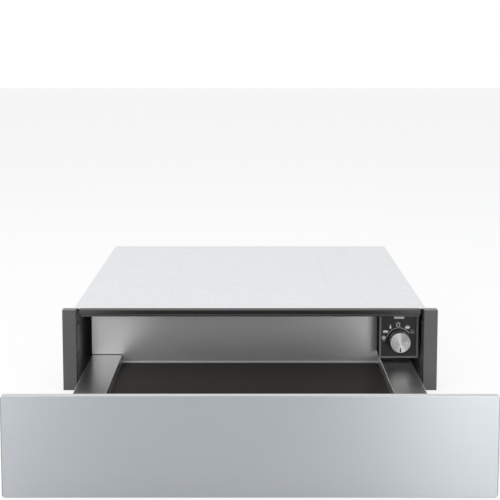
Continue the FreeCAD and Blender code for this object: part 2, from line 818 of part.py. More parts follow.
def build_heat_spreader():
    body = piece("heat_spreader", OUT)
    outline = centred(PAN_INNER, f"{INNER_BACK} + pan_sheet", PAN_REAR)
    extrude(body, "Z", [outline], SPREADER_UNDER, GLASS_UNDER)


def build_heater():
    """A flat heating strip bent to and fro under the spreader, its legs joined by half-turns."""
    half = float(sheet.evalExpression(WELL_HALF)) - sheet.get("heater_side_room")
    span = float(sheet.evalExpression(HEATER_SPAN))
    first = float(sheet.evalExpression(HEATER_FIRST))
    width = sheet.get("heater_width")
    thickness = sheet.get("heater_thickness")
    legs = int(sheet.get("heater_legs"))
    pitch = span / (legs - 1)
    edges = []
    for leg in range(legs):
        sign = 1 if leg % 2 == 0 else -1
        depth = first + leg * pitch
        start = FreeCAD.Vector(-sign * half, depth, 0)
        end = FreeCAD.Vector(sign * half, depth, 0)
        edges.append(Part.makeLine(start, end))
        if leg < legs - 1:
            bulge = FreeCAD.Vector(sign * (half + pitch / 2), depth + pitch / 2, 0)
            far = FreeCAD.Vector(sign * half, depth + pitch, 0)
            edges.append(Part.Arc(end, bulge, far).toShape())
    corners = []
    for across, up in ((-1, 0), (1, 0), (1, 1), (-1, 1), (-1, 0)):
        corners.append(FreeCAD.Vector(-half, first + across * width / 2, up * thickness))
    section = Part.makePolygon(corners)
    strip = Part.Wire(edges).makePipeShell([section], True, False)
    element = doc.addObject("Part::Feature", "heating_element")
    element.Label = "heating_element"
    element.Shape = strip
    element.setExpression("Placement.Base.y", bound(OUT))
    element.setExpression("Placement.Base.z", bound(f"{SPREADER_UNDER} - heater_thickness"))
    nodes.append(element)


def build_tray_insulation():
    body = piece("tray_insulation", OUT)
    outline = centred(PAN_INNER, f"{INNER_BACK} + pan_sheet", PAN_REAR)
    extrude(body, "Z", [outline], PAN_FLOOR, HEATER_UNDER)
    well = ("0", CUTOUT_DEPTH, "cutout_radius + cutout_clearance")
    carve(body, "Z", [well], f"{HEATER_UNDER} - cutout_height", HEATER_UNDER)


def build_thermal_cutout():
    body = piece("thermal_cutout", OUT)
    disc = ("0", CUTOUT_DEPTH, "cutout_radius")
    extrude(body, "Z", [disc], f"{SPREADER_UNDER} - cutout_height", SPREADER_UNDER)


def front_outline(inset):
    """The outline of the front panel, drawn in all round by an inset."""
    return centred(
        f"{FRONT_WIDTH} / 2 - {inset}", f"front_base + {inset}", f"{FRONT_TOP} - {inset}",
    )


def build_front_panel():
    body = piece("front_panel", OUT)
    outline = centred(f"{FRONT_WIDTH} / 2", "front_base", FRONT_TOP)
    inner = front_outline("front_sheet")
    press_panel(body, outline, inner, "front_corner", (FRONT_FACE, FRONT_BACK), 1)


def build_backing_plate():
    body = piece("front_backing_plate", OUT)
    outline = front_outline("front_sheet")
    plate = extrude(body, "Y", [outline], f"{FRONT_BACK} - front_sheet", FRONT_BACK)
    round_edges(body, plate, "front_corner - front_sheet", lambda edge: runs_along(edge, "Y"))


def build_front_insulation():
    body = piece("front_insulation", OUT)
    outline = front_outline("front_inset")
    extrude(body, "Y", [outline], f"{FRONT_FACE} + front_sheet", f"{FRONT_BACK} - front_sheet")


def build_inner_front():
    body = piece("inner_front", OUT)
    half = f"{INNER_FRONT_WIDTH} / 2"
    top = "carcass_height - inner_front_drop"
    outline = centred(half, "inner_front_base", top)
    inner = centred(
        f"{half} - front_sheet", "inner_front_base + front_sheet", f"{top} - front_sheet",
    )
    press_panel(body, outline, inner, "inner_front_corner", (FRONT_BACK, INNER_BACK), 0)


def build_bracket(label, side):
    body = piece(label, OUT)
    outer = f"({TRAY_HALF} - bracket_inset)"
    inner = f"({outer} - bracket_width)"
    plate_back = f"{INNER_BACK} + bracket_sheet"
    arm_end = f"{INNER_BACK} + bracket_depth"
    angle = [
        (inner, INNER_BACK), (outer, INNER_BACK), (outer, arm_end),
        (f"{outer} - bracket_sheet", arm_end), (f"{outer} - bracket_sheet", plate_back),
        (inner, plate_back),
    ]
    extrude(body, "Z", [mirrored(side, angle)], "bracket_base", LEDGE_UNDER)


def build_bumpers():
    group = doc.addObject("Part::Compound", "front_bumpers")
    group.Label = "front_bumpers"
    pads = []
    for side in ("-1", "1"):
        for level in ("bumper_low", "carcass_height - bumper_drop"):
            pad = doc.addObject("Part::Cylinder", "bumper")
            pad.setExpression("Radius", bound("bumper_radius"))
            pad.setExpression("Height", bound("bumper_thickness"))
            across = f"{side} * (frame_width / 2 - upright_width / 2)"
            pad.Placement.Rotation = FreeCAD.Rotation(FreeCAD.Vector(1, 0, 0), -90)
            pad.setExpression("Placement.Base.x", bound(across))
            pad.setExpression("Placement.Base.y", bound(f"{FRONT_BACK} + {OUT}"))
            pad.setExpression("Placement.Base.z", bound(level))
            pads.append(pad)
    group.Links = pads
    nodes.append(group)


def build_all():
    build_base_plate()
    build_top_cover()
    build_rear_panel()
    build_top_rail()
    for hand, side in (("left", "-1"), ("right", "1")):
        build_side_panel(f"{hand}_side_panel", side)
        build_upright(f"{hand}_front_upright", side)
        build_runners(hand, side)
        build_ledge(f"{hand}_ledge_cover", side)
        build_bracket(f"{hand}_front_bracket", side)
    build_control_housing()
    build_bezel()
    build_faceplate()
    build_lamp_lens()
    build_rotary_switch()
    build_knob()
    build_latch()
    build_door_switch()
    build_terminal_box()
    build_gland()
    build_pan()
    build_rear_wall()
    build_glass()
    build_heat_spreader()
    build_heater()
    build_tray_insulation()
    build_thermal_cutout()
    build_front_panel()
    build_backing_plate()
    build_front_insulation()
    build_inner_front()
    build_bumpers()


def check_all():
    """Stops the build when an object failed or a piece is empty or invalid."""
    doc.recompute()
    for item in doc.Objects:
        if "Invalid" in item.State or "Error" in item.State:
            raise RuntimeError(f"{item.Label} failed: {item.State}")
    for node in nodes:
        if node.Shape.isNull() or not node.Shape.isValid():
            raise RuntimeError(f"{node.Label} has no valid shape")


build_all()
check_all()
os.makedirs("parts", exist_ok=True)
for node in nodes:
    node.Shape.exportStep(f"parts/{node.Label}.step")
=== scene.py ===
import json
import math

import bmesh
import bpy
from mathutils import Matrix, Vector


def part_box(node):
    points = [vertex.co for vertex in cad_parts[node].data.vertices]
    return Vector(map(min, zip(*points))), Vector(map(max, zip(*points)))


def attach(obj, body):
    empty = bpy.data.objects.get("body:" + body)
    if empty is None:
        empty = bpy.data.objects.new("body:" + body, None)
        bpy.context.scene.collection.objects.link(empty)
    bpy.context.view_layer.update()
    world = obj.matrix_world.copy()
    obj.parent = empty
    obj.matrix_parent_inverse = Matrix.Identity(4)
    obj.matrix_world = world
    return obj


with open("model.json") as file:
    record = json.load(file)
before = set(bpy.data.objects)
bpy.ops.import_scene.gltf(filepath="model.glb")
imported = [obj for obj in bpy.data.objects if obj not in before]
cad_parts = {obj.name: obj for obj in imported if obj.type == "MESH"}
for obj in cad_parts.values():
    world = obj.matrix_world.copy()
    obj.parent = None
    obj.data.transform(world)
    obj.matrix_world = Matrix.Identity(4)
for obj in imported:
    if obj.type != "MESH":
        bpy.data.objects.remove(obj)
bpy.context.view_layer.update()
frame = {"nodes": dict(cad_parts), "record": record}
NODES = frame["nodes"]
MM = 0.001


def middle_of(node):
    low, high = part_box(node)
    return (low + high) / 2


# --- shader expressions ----------------------------------------------------------------------

MIX_FACTOR = 0
MIX_COLORS = (6, 7)


class Field:
    """A value that varies over a surface and takes ordinary arithmetic."""

    def __init__(self, shading, socket):
        self.shading = shading
        self.socket = socket

    def __add__(self, other):
        return self.shading.maths("ADD", self, other)

    __radd__ = __add__

    def __mul__(self, other):
        return self.shading.maths("MULTIPLY", self, other)

    __rmul__ = __mul__

    def __sub__(self, other):
        return self.shading.maths("SUBTRACT", self, other)

    def __rsub__(self, other):
        return self.shading.maths("SUBTRACT", other, self)

    def __truediv__(self, other):
        return self.shading.maths("DIVIDE", self, other)

    def __rtruediv__(self, other):
        return self.shading.maths("DIVIDE", other, self)

    def __pow__(self, other):
        return self.shading.maths("POWER", self, other)

    def __rpow__(self, other):
        return self.shading.maths("POWER", other, self)

    def __abs__(self):
        return self.shading.maths("ABSOLUTE", self)

    def clamped(self):
        """The value held between 0 and 1."""
        above = self.shading.maths("MAXIMUM", self, 0.0)
        return self.shading.maths("MINIMUM", above, 1.0)

    def out(self, name):
        """Another output of the node that this value comes from."""
        return Field(self.shading, self.socket.node.outputs[name])


class Shading:
    """The nodes of a material or of the world."""

    def __init__(self, tree):
        self.tree = tree

    def node(self, kind, settings=None, inputs=None):
        """Adds a node: its settings first, then the values or links of its sockets."""
        made = self.tree.nodes.new(kind)
        for key, value in (settings or {}).items():
            setattr(made, key, value)
        for key, value in (inputs or {}).items():
            if isinstance(value, Field):
                self.tree.links.new(value.socket, made.inputs[key])
            else:
                made.inputs[key].default_value = value
        return Field(self, next((socket for socket in made.outputs if socket.enabled), None))

    def maths(self, operation, *values):
        return self.node("ShaderNodeMath", {"operation": operation}, dict(enumerate(values)))

    def vector_maths(self, operation, *values):
        settings = {"operation": operation}
        return self.node("ShaderNodeVectorMath", settings, dict(enumerate(values)))

    def split(self, vector):
        """The parts of a vector, read with out("X"), out("Y") and out("Z")."""
        return self.node("ShaderNodeSeparateXYZ", None, {0: vector})

    def tint(self, amount, first, second):
        """Mixes two colours, each a tuple or a field, by a field from 0 to 1."""
        inputs = {MIX_FACTOR: amount}
        for socket, color in zip(MIX_COLORS, (first, second)):
            inputs[socket] = color if isinstance(color, Field) else (*color, 1)
        return self.node("ShaderNodeMix", {"data_type": "RGBA"}, inputs)


class Finish(Shading):
    """A material under construction, with the shader that its nodes feed."""

    def __init__(self, name, color, roughness, metallic=0.0, constants=None):
        self.material = bpy.data.materials.new(name)
        self.material.use_nodes = True
        self.material.diffuse_color = (*color, 1)
        super().__init__(self.material.node_tree)
        self.shader = self.tree.nodes["Principled BSDF"]
        self.color = color
        self.roughness = roughness
        self.set("Base Color", (*color, 1))
        self.set("Roughness", roughness)
        self.set("Metallic", metallic)
        for socket, value in (constants or {}).items():
            self.set(socket, value)

    def set(self, socket, value):
        """Gives a shader socket a constant or a field."""
        if isinstance(value, Field):
            self.tree.links.new(value.socket, self.shader.inputs[socket])
        else:
            self.shader.inputs[socket].default_value = value

    def place(self):
        """The point on the object, in metres."""
        return self.node("ShaderNodeTexCoord").out("Object")

    def stretched(self, per_metre):
        """The point on the object, in a pattern's repeats along X, Y and Z."""
        inputs = {0: self.place(), "Scale": per_metre}
        return self.node("ShaderNodeMapping", {"vector_type": "POINT"}, inputs)

    def noise(self, per_metre, detail=3.0, roughness=0.55):
        """Soft noise, with its repeats per metre, the same all ways or along X, Y and Z."""
        if not isinstance(per_metre, tuple):
            per_metre = (per_metre,) * 3
        inputs = {
            "Vector": self.stretched(per_metre), "Scale": 1.0, "Detail": detail,
            "Roughness": roughness,
        }
        return self.node("ShaderNodeTexNoise", {"noise_dimensions": "3D"}, inputs)

    def facing(self):
        """The way the surface faces."""
        return self.node("ShaderNodeNewGeometry").out("Normal")

    def vary_sheen(self, *swings):
        """Swings the roughness round its own value, by pairs of a field and its swing."""
        level = self.roughness - sum(swing for field, swing in swings) / 2
        for field, swing in swings:
            level = field * swing + level
        self.set("Roughness", level)

    def shaded(self, amount, swing):
        """The finish's own colour, a little darker to a little lighter as the field rises."""
        darker = tuple(c * (1 - swing) for c in self.color)
        lighter = tuple(min(1.0, c * (1 + swing)) for c in self.color)
        return self.tint(amount, darker, lighter)

    def bump(self, height, depth):
        """Relief: the height field is 0 to 1 and the depth in millimetres."""
        inputs = {"Height": height, "Distance": depth * MM, "Strength": 1.0}
        self.set("Normal", self.node("ShaderNodeBump", None, inputs))

    def skin(self, slow, sheen, shade, fine, depth):
        """Completes the material with slow swings of sheen and shade, under a fine relief."""
        self.vary_sheen((slow, sheen))
        self.set("Base Color", self.shaded(slow, shade))
        self.bump(fine, depth)
        return self.material


# --- finishes --------------------------------------------------------------------------------

STREAK_SHEEN = 0.14
CLOUD_SHEEN = 0.08
STREAK_SHADE = 0.10
PAINTED_FOLD_WIDTH = 1.2
PAINTED_FOLD_BLUR = 0.2


def paint_fold_ends(finish, color, node, painted_fold_color):
    """Gives the narrow folds at both ends of a node, along X, a painted colour: darker for a
    painted reflection, lighter for a painted highlight.

    A sheet that has a mirrored twin on the left is given by the node on the right.
    """
    low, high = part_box(node)
    flat = (high.x - low.x) / 2 - PAINTED_FOLD_WIDTH * MM
    off_middle = abs(finish.split(finish.place()).out("X")) - (low.x + high.x) / 2
    end = (abs(off_middle) - flat) / (PAINTED_FOLD_BLUR * MM)
    return finish.tint(end.clamped(), color, painted_fold_color)


def brushed_steel(
    name, color, roughness, grain, depth, anisotropic=0.0, turn=0.0, contrast=1.0, painted_folds=None,
    painted_top_highlight=None,
):
    """Brushed sheet: fine streaks, and slow changes where the belt pressed harder.

    The painted folds give a node and the colour painted on its ends; the painted top highlight is
    the colour painted on what faces up, as if lit from above.
    """
    constants = {"Anisotropic": anisotropic, "Anisotropic Rotation": turn}
    finish = Finish(name, color, roughness, 1.0, constants)
    streaks = finish.noise(grain, detail=4.0, roughness=0.7)
    cloud = finish.noise((5, 5, 9), detail=2.0)
    finish.vary_sheen((streaks, STREAK_SHEEN * contrast), (cloud, CLOUD_SHEEN))
    worn = (streaks * 0.6 + cloud * 0.4).clamped()
    color = finish.shaded(worn, STREAK_SHADE * contrast)
    # Painted light on the folds at the node's ends: darker is a painted reflection, lighter a
    # painted highlight.
    if painted_folds:
        color = paint_fold_ends(finish, color, *painted_folds)
    # Painted highlight: faces turned up are painted lighter, as if lit from above.
    if painted_top_highlight:
        up = finish.split(finish.facing()).out("Z")
        color = finish.tint(up.clamped(), color, painted_top_highlight)
    finish.set("Base Color", color)
    finish.bump(streaks, depth)
    return finish.material


CRYSTALS_PER_METRE = 130


def zinc_sheet(name, color, roughness, shade):
    """Hot-dip coated sheet: a dull passivated skin over faint crystals."""
    finish = Finish(name, color, roughness, 0.4, {"Specular IOR Level": 0.2})
    inputs = {"Vector": finish.stretched((CRYSTALS_PER_METRE,) * 3), "Scale": 1.0}
    cells = finish.node("ShaderNodeTexVoronoi", {"feature": "F1"}, inputs).out("Color")
    crystals = finish.node("ShaderNodeSeparateColor", None, {0: cells}).out("Red")
    cloud = finish.noise(6)
    finish.vary_sheen((crystals, 0.10), (cloud, 0.04))
    worn = (crystals * 0.8 + cloud * 0.2).clamped()
    finish.set("Base Color", finish.shaded(worn, shade))
    finish.bump(finish.noise(700), 0.02)
    return finish.material


def runner_zinc():
    """Plated steel of the runners, worn along their length."""
    finish = Finish("runner_zinc", (0.74, 0.75, 0.77), 0.30, 1.0)
    wear = finish.noise((300, 12, 300))
    return finish.skin(slow=wear, sheen=0.20, shade=0.08, fine=wear, depth=0.03)


def dark_satin(name, color, edge, roughness, metallic):
    """Dark coat on the front frame, with a fine orange-peel skin."""
    finish = Finish(name, color, roughness, metallic, {"Specular Tint": (edge, edge, edge, 1)})
    peel = finish.noise(900, detail=2.0)
    return finish.skin(slow=finish.noise(7), sheen=0.10, shade=0.08, fine=peel, depth=0.02)


def bezel_satin():
    """Moulded frame round the control face, a shade lighter than the face."""
    finish = Finish("bezel_satin", (0.15, 0.15, 0.147), 0.34)
    grain = finish.noise(1800, detail=2.0)
    return finish.skin(slow=finish.noise(25), sheen=0.12, shade=0.10, fine=grain, depth=0.02)


def black_glass():
    """Toughened glass with a satin upper face."""
    constants = {"Specular IOR Level": 0.025, "Specular Tint": (1.0, 0.93, 0.82, 1)}
    finish = Finish("black_glass", (0.0238, 0.0213, 0.0172), 0.40, 0.0, constants)
    grain = finish.noise(1400, detail=2.0)
    return finish.skin(slow=finish.noise(4), sheen=0.16, shade=0.15, fine=grain, depth=0.01)


def black_plastic():
    """Moulded black parts with a fine grain."""
    finish = Finish("black_plastic", (0.012,) * 3, 0.44, 0.0, {"Specular IOR Level": 0.35})
    grain = finish.noise(2200, detail=2.0)
    return finish.skin(slow=finish.noise(20), sheen=0.12, shade=0.12, fine=grain, depth=0.03)


def matt_black():
    """Moulded housing of the control unit, with hardly any sheen."""
    finish = Finish("matt_black", (0.010,) * 3, 0.70, 0.0, {"Specular IOR Level": 0.04})
    grain = finish.noise(2200, detail=2.0)
    return finish.skin(slow=grain, sheen=0.12, shade=0.12, fine=grain, depth=0.03)


def black_rubber():
    """Soft black of the glass seal, the front bumpers and the cable gland."""
    finish = Finish("black_rubber", (0.024,) * 3, 0.72)
    grain = finish.noise(1500)
    return finish.skin(slow=grain, sheen=0.20, shade=0.20, fine=grain, depth=0.05)


def plain_metal(name, color, roughness):
    """Mill-finished metal of the inner pieces."""
    finish = Finish(name, color, roughness, 1.0)
    fine = finish.noise(800, detail=2.0)
    return finish.skin(slow=finish.noise(30), sheen=0.18, shade=0.08, fine=fine, depth=0.02)


def felt():
    """Glass-fibre felt, with its fibres laid along Y."""
    finish = Finish("glass_felt", (0.72, 0.69, 0.60), 0.95)
    fibres = finish.noise((900, 300, 900), detail=5.0, roughness=0.7)
    finish.set("Base Color", finish.shaded(fibres, 0.15))
    finish.bump(fibres, 0.3)
    return finish.material


def white_plastic():
    """Pale moulded plunger and button."""
    finish = Finish("white_plastic", (0.72, 0.71, 0.68), 0.42)
    grain = finish.noise(1500, detail=2.0)
    return finish.skin(slow=finish.noise(40), sheen=0.12, shade=0.04, fine=grain, depth=0.02)


def lamp_lens():
    """Pale lens of the pilot lamp, with faint upright ribs."""
    finish = Finish("lamp_lens", (0.60, 0.60, 0.58), 0.27)
    ribs = finish.noise((1200, 60, 60))
    return finish.skin(slow=finish.noise(120), sheen=0.10, shade=0.05, fine=ribs, depth=0.02)


CAP_RINGS_PER_MM = 3.2
CAP_RING_PITCH = 0.4
CAP_RING_SLOPE = 0.85
CAP_SWIRL = math.radians(-40)


def spun_metal(centre):
    """Turned face: fine rings about the knob's axis, drawn out into a slight swirl."""
    finish = Finish("spun_metal", (0.425, 0.42, 0.411), 0.30, 1.0)
    point = finish.split(finish.place())
    across = (point.out("X") - centre.x) / MM
    up = (point.out("Z") - centre.z) / MM
    radius = (across * across + up * up) ** 0.5
    rings = finish.node(
        "ShaderNodeTexNoise", {"noise_dimensions": "1D"},
        {"W": radius * CAP_RINGS_PER_MM, "Scale": 1.0, "Detail": 4.0, "Roughness": 0.7},
    )
    finish.vary_sheen((rings, 0.10))
    finish.set("Base Color", finish.shaded(rings, 0.10))
    side, rise = math.cos(CAP_SWIRL), math.sin(CAP_SWIRL)
    swirled = {0: across * side - up * rise, 1: 0.0, 2: across * rise + up * side}
    outward = finish.vector_maths("NORMALIZE", finish.node("ShaderNodeCombineXYZ", None, swirled))
    outward = finish.node(
        "ShaderNodeVectorTransform",
        {"vector_type": "VECTOR", "convert_from": "OBJECT", "convert_to": "WORLD"}, {0: outward},
    )
    facing = finish.facing()
    flat_face = (finish.split(facing).out("Y") * -1.0).clamped()
    groove = finish.maths("PINGPONG", radius / CAP_RING_PITCH, 0.5) * 2.0 - 0.5
    lean = {0: outward, "Scale": groove * flat_face * CAP_RING_SLOPE}
    leaning = finish.node("ShaderNodeVectorMath", {"operation": "SCALE"}, lean)
    turned = finish.vector_maths("ADD", facing, leaning)
    finish.set("Normal", finish.vector_maths("NORMALIZE", turned))
    return finish.material


def print_ink():
    """Pale ink of the prints on the control face."""
    finish = Finish("print_ink", (0.80, 0.80, 0.78), 0.55)
    cloud = finish.noise(400)
    finish.vary_sheen((cloud, 0.10))
    finish.set("Base Color", finish.shaded(cloud, 0.06))
    return finish.material


STEEL = {
    # Painted reflection: the front panel's side folds are painted dark.
    "front": brushed_steel(
        "front_steel", (0.412, 0.432, 0.453), 0.40, grain=(9, 700, 1500), depth=0.02,
        anisotropic=0.85, turn=0.25, painted_folds=("front_panel", (0.20, 0.205, 0.21)),
        # Painted highlight: the panel's upward faces are painted lighter, as if lit from above.
        painted_top_highlight=(0.66, 0.67, 0.67),
    ),
    "inner": brushed_steel(
        "inner_steel", (0.575, 0.58, 0.585), 0.36, grain=(12, 900, 1500), depth=0.02,
        anisotropic=0.5, turn=0.25,
    ),
    "wall": brushed_steel(
        "wall_steel", (0.56, 0.56, 0.56), 0.43, grain=(12, 900, 1500), depth=0.02,
        anisotropic=0.2, turn=0.25,
    ),
    # Painted highlight: the folds along both long edges of each ledge cover are painted light.
    "ledge": brushed_steel(
        "ledge_steel", (0.49, 0.49, 0.49), 0.30, grain=(1700, 30, 1700), depth=0.001,
        contrast=0.4, painted_folds=("right_ledge_cover", (0.85, 0.85, 0.85)),
    ),
}
INK = print_ink()
SLOT_FINISH = {
    "carcass_steel": zinc_sheet("zinc_sheet", (0.49, 0.495, 0.50), 0.46, 0.08),
    "frame_paint": dark_satin("dark_satin", (0.110, 0.110, 0.105), 0.40, 0.34, 0.0),
    "front_steel": STEEL["front"],
    "inner_steel": STEEL["inner"],
    "runner_zinc": runner_zinc(),
    "black_glass": black_glass(),
    "black_rubber": black_rubber(),
    "spreader_aluminium": plain_metal("mill_aluminium", (0.77, 0.77, 0.78), 0.35),
    "heater_metal": plain_metal("oxidised_strip", (0.30, 0.27, 0.24), 0.55),
    "insulation": felt(),
    "black_plastic": black_plastic(),
    "white_plastic": white_plastic(),
    "lamp_lens": lamp_lens(),
    "knob_metal": spun_metal(middle_of("knob_cap")),
    "spindle_metal": plain_metal("turned_steel", (0.58, 0.58, 0.58), 0.32),
}
OWN_FINISH = {
    "tray_rear_wall": STEEL["wall"],
    "left_ledge_cover": STEEL["ledge"],
    "right_ledge_cover": STEEL["ledge"],
    "control_bezel": bezel_satin(),
    "control_box_housing": matt_black(),
    # Painted light: the top cover is the carcass's zinc sheet painted lighter, as if lit from
    # above.
    "top_cover": zinc_sheet("top_lit_zinc_sheet", (0.76, 0.77, 0.78), 0.50, 0.035),
    # Painted shade: the rail takes the frame's dark satin painted darker, standing for the dark
    # parts it mirrors.
    "front_top_rail": dark_satin("rail_satin_painted_darker", (0.075, 0.075, 0.072), 0.42, 0.14, 0.7),
}
USUAL_ROUNDING = 0.25
EDGE_ROUNDING = {
    "front_steel": 0.0, "inner_steel": 0.45, "black_glass": 0.6, "black_plastic": 0.35,
    "frame_paint": 0.2,
}
SHARP_ANGLE = math.radians(50)


def dress_nodes():
    """Gives each node its finish and breaks its sharp edges."""
    for part in frame["record"]["subparts"]:
        node = NODES[part["node"]]
        slot = part["material_slot"]
        finish = OWN_FINISH.get(part["node"], SLOT_FINISH[slot])
        node.data.materials.clear()
        node.data.materials.append(finish)
        width = EDGE_ROUNDING.get(slot, USUAL_ROUNDING)
        if width:
            rounding = node.modifiers.new("edge", "BEVEL")
            rounding.width = width * MM
            rounding.segments = 2
            rounding.limit_method = "ANGLE"
            rounding.angle_limit = SHARP_ANGLE
            rounding.use_clamp_overlap = True


# --- pieces ----------------------------------------------------------------------------------

def piece_of(name, made, finish, body):
    """Turns a bmesh into a piece with its finish and body."""
    mesh = bpy.data.meshes.new(name)
    made.to_mesh(mesh)
    made.free()
    piece = bpy.data.objects.new(name, mesh)
    bpy.context.scene.collection.objects.link(piece)
    mesh.materials.append(finish)
    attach(piece, body)
    return piece


# --- control face ----------------------------------------------------------------------------

PRINT_DEPTH = 0.12
WELD = 0.001
SCALE_RADIUS = 19.2
SCALE_START = 167
SCALE_END = 33
SCALE_STROKE = 0.6


def ribbon(points, width):
    """The quads of a stroke of even width along (across, up) points."""
    sides = []
    for index, (across, up) in enumerate(points):
        before = points[max(index - 1, 0)]
        after = points[min(index + 1, len(points) - 1)]
        run = Vector((after[0] - before[0], after[1] - before[1])).normalized()
        off = Vector((-run.y, run.x)) * width / 2
        sides.append(((across + off.x, up + off.y), (across - off.x, up - off.y)))
    quads = []
    for (left, right), (next_left, next_right) in zip(sides, sides[1:]):
        quads.append([left, right, next_right, next_left])
    return quads


def arc(centre, radius, start, end, steps=16):
    """Points on an arc, with its angles in degrees from the right."""
    points = []
    for step in range(steps + 1):
        angle = math.radians(start + (end - start) * step / steps)
        points.append((centre[0] + radius * math.cos(angle), centre[1] + radius * math.sin(angle)))
    return points


# Each symbol is drawn in millimetres about its own middle, as shapes that touch but don't overlap.

def snowflake():
    """Six arms round a hexagon, with two barbs from the sides of each, over two drops."""
    half = 0.36
    inner, root, top, tip = half / math.tan(math.radians(30)), 1.5, 2.3, 3.7
    splay, barb_length = 0.7, 0.95
    shapes = [arc((0, 0), 2 * half, 0, 300, 5)]
    for turn in range(30, 390, 60):
        along = Vector((math.cos(math.radians(turn)), math.sin(math.radians(turn))))
        shapes += ribbon([tuple(along * reach) for reach in (inner, root, top, tip)], 2 * half)
        for sign in (-1, 1):
            aside = Vector((-along.y, along.x)) * sign
            barb = (along + aside * splay) * barb_length
            low, high = along * root + aside * half, along * top + aside * half
            shapes.append([tuple(low), tuple(high), tuple(high + barb), tuple(low + barb)])
    for across in (-1.4, 1.0):
        shapes += ribbon([(across, -4.3), (across, -5.6)], 0.6)
    return shapes


def loaf():
    """A loaf on a board."""
    crust = arc((-2.5, 0.2), 1.4, 180, 90, 6) + arc((2.5, 0.2), 1.4, 90, 0, 6)
    crust = [(-3.9, -1.6)] + crust + [(3.9, -1.6)]
    return [crust[::-1]] + ribbon([(-4.1, -2.4), (4.1, -2.4)], 0.45)


def droplet():
    body = arc((0, -1.3), 1.75, -200, 20, 14)
    return [body + [(0.4, 3.0), (0, 4.6), (-0.4, 3.0)]]


def warm_plate():
    """A tall cover over a plate, with five short rays."""
    dome = 2.2
    middle = 0.4
    cover = [(dome, -2.2)] + arc((0, middle), dome, 0, 180, 16) + [(-dome, -2.2)]
    shapes = ribbon(cover, 0.7) + ribbon([(-3.1, -2.7), (3.1, -2.7)], 0.55)
    for turn in (20, 55, 90, 125, 160):
        across, up = math.cos(math.radians(turn)), math.sin(math.radians(turn))
        ray = [(reach * across, reach * up + middle) for reach in (3.1, 4.0)]
        shapes += ribbon(ray, 0.45)
    return shapes


def covered_pot():
    """A pot with two handles, under a lid with its knob."""
    pot = [(-3.3, 1.1), (-3.2, -1.5), (-2.6, -2.3), (2.6, -2.3), (3.2, -1.5), (3.3, 1.1)]
    shapes = [pot] + ribbon([(-3.0, 1.8), (-1.6, 2.3), (1.6, 2.3), (3.0, 1.8)], 0.5)
    for sign in (-1, 1):
        shapes += ribbon([(sign * 3.4, 0.3), (sign * 4.4, 0.3)], 0.8)
    shapes.append(arc((0, 3.3), 0.55, 0, 330, 11))
    return shapes


def steaming_cup():
    """An open cup under two wavy lines of steam."""
    shapes = ribbon([(-3.2, -0.2), (-2.4, -2.2), (2.4, -2.2), (3.2, -0.2)], 0.45)
    sway, rise = 0.45, 0.42
    for across in (-1.3, 1.3):
        steam = [(across + sway * math.sin(step * 1.05), 0.4 + rise * step) for step in range(7)]
        shapes += ribbon(steam, 0.32)
    return shapes


# The angle about the knob in degrees, the distance from its axis, and the drawing.
SYMBOLS = {
    "symbol_defrost": (173, 24.0, snowflake),
    "symbol_dough": (148, 25.2, loaf),
    "symbol_drinks": (124, 24.7, droplet),
    "symbol_plates": (93, 24.6, warm_plate),
    "symbol_dishes": (56, 24.3, covered_pot),
    "symbol_cups": (32, 25.2, steaming_cup),
}


def printed(name, shapes, centre, face):
    """A raised print on the control face: flat shapes given a skin's thickness."""
    made = bmesh.new()
    for shape in shapes:
        corners = []
        for across, up in shape:
            corners.append(made.verts.new(((centre[0] + across) * MM, face, (centre[1] + up) * MM)))
        made.faces.new(corners)
    bmesh.ops.remove_doubles(made, verts=made.verts, dist=WELD * MM)
    bmesh.ops.recalc_face_normals(made, faces=made.faces)
    raised = bmesh.ops.extrude_face_region(made, geom=list(made.faces))
    moved = [item for item in raised["geom"] if isinstance(item, bmesh.types.BMVert)]
    bmesh.ops.translate(made, verts=moved, vec=(0, -PRINT_DEPTH * MM, 0))
    bmesh.ops.recalc_face_normals(made, faces=made.faces)
    return piece_of(name, made, INK, "carcass")


def make_prints():
    """The scale round the knob and the symbols of its settings."""
    knob = middle_of("knob_cap") / MM
    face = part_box("control_faceplate")[0].y
    scale = arc((0, 0), SCALE_RADIUS, SCALE_START, SCALE_END, steps=60)
    printed("scale_arc", ribbon(scale, SCALE_STROKE), (knob.x, knob.z), face)
    for name, (turn, radius, draw) in SYMBOLS.items():
        angle = math.radians(turn)
        place = (knob.x + radius * math.cos(angle), knob.z + radius * math.sin(angle))
        printed(name, draw(), place, face)


# --- fixings ---------------------------------------------------------------------------------

def turned_piece(name, profile, place, facing, finish, steps):
    """A small turned fixing on the carcass: (radius, height) points about a facing axis."""
    made = bmesh.new()
    turn = Vector(facing).to_track_quat("Z", "Y").to_matrix().to_4x4()
    where = Matrix.Translation(Vector(place) * MM) @ turn
    rings = []
    for radius, height in profile:
        ring = []
        for step in range(steps):
            angle = 2 * math.pi * step / steps
            point = Vector((radius * math.cos(angle), radius * math.sin(angle), height)) * MM
            ring.append(made.verts.new(where @ point))
        rings.append(ring)
    for low, high in zip(rings, rings[1:]):
        for step in range(steps):
            after = (step + 1) % steps
            made.faces.new((low[step], low[after], high[after], high[step]))
    made.faces.new(rings[0][::-1])
    made.faces.new(rings[-1])
    for face in made.faces:
        face.smooth = len(face.verts) == 4
    return piece_of(name, made, finish, "carcass")


